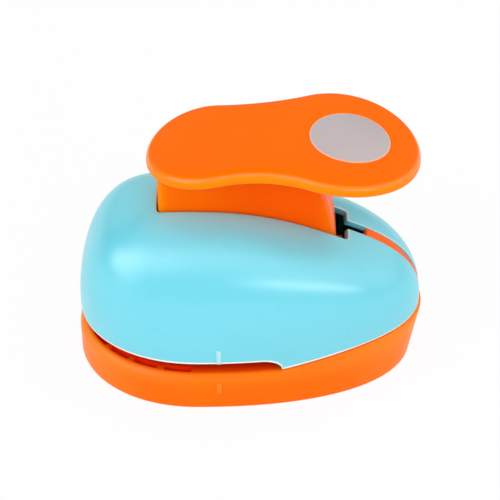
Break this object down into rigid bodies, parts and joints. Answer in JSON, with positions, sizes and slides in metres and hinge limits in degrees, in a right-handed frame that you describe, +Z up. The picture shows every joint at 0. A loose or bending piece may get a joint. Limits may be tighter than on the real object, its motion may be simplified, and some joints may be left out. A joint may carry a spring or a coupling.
{
  "type": "lever craft punch",
  "caption": "Desk lever punch that cuts round discs from paper: egg-shaped tray and domed cover, arched palm lever, sprung round cutter, rear storage lock.",
  "frame": {"origin": "middle of the footprint, on the surface the punch stands on", "axes": "+X from the paper mouth to the rear, +Z up, the part is the same on both sides of y = 0"},
  "size_m": [0.1146, 0.068, 0.0869],
  "materials": {
    "base_orange": "smooth moulded orange plastic, satin gloss",
    "cover_blue": "smooth moulded pale blue plastic, satin gloss",
    "lever_orange": "smooth moulded orange plastic, satin gloss",
    "lock_orange": "smooth moulded orange plastic, satin gloss",
    "disc_grey": "matt warm grey plate",
    "pin_steel": "ground steel",
    "plate_steel": "zinc-plated pressed steel",
    "die_steel": "ground tool steel",
    "screw_steel": "zinc-plated steel screws",
    "spring_steel": "spring wire",
    "cast_zinc": "die-cast zinc alloy",
    "yoke_nylon": "natural nylon"
  },
  "bodies": {
    "body": {"base_shell": "base_orange", "upper_cover": "cover_blue", "pivot_pin": "pin_steel", "pin_clips": "spring_steel", "fulcrum_bracket": "plate_steel", "bracket_screws": "screw_steel", "die_plate": "die_steel", "throat_spacer": "plate_steel", "guide_block": "cast_zinc", "frame_screws": "screw_steel", "die_screws": "screw_steel", "guide_posts": "pin_steel", "post_clips": "spring_steel", "return_spring_left": "spring_steel", "return_spring_right": "spring_steel", "cover_screws_rear": "screw_steel", "cover_screws_front": "screw_steel"},
    "lever": {"lever_handle": "lever_orange", "label_disc": "disc_grey"},
    "punch": {"punch_cutter": "die_steel", "punch_yoke": "yoke_nylon", "yoke_screws": "screw_steel", "thrust_button": "pin_steel"},
    "lock": {"lock_slide": "lock_orange"}
  },
  "joints": [
    {"name": "lever_hinge", "type": "hinge", "parent": "body", "child": "lever", "pos_m": [-0.0325, 0, 0.046], "axis": [0, 1, 0], "range_deg": [0, 12.58], "stiffness_Nm_per_rad": 1.5, "springref_deg": -17.19},
    {"name": "punch_slide", "type": "slide", "parent": "body", "child": "punch", "axis": [0, 0, -1], "range_m": [0, 0.0049], "deforming": ["return_spring_left", "return_spring_right"]},
    {"name": "lock_travel", "type": "hinge", "parent": "body", "child": "lock", "pos_m": [0.02196, 0, 0.01582], "axis": [0, -1, 0], "range_deg": [0, 10]}
  ],
  "couplings": [
    {"joint": "punch_slide", "follows": "lever_hinge", "m_per_rad": 0.02231}
  ]
}
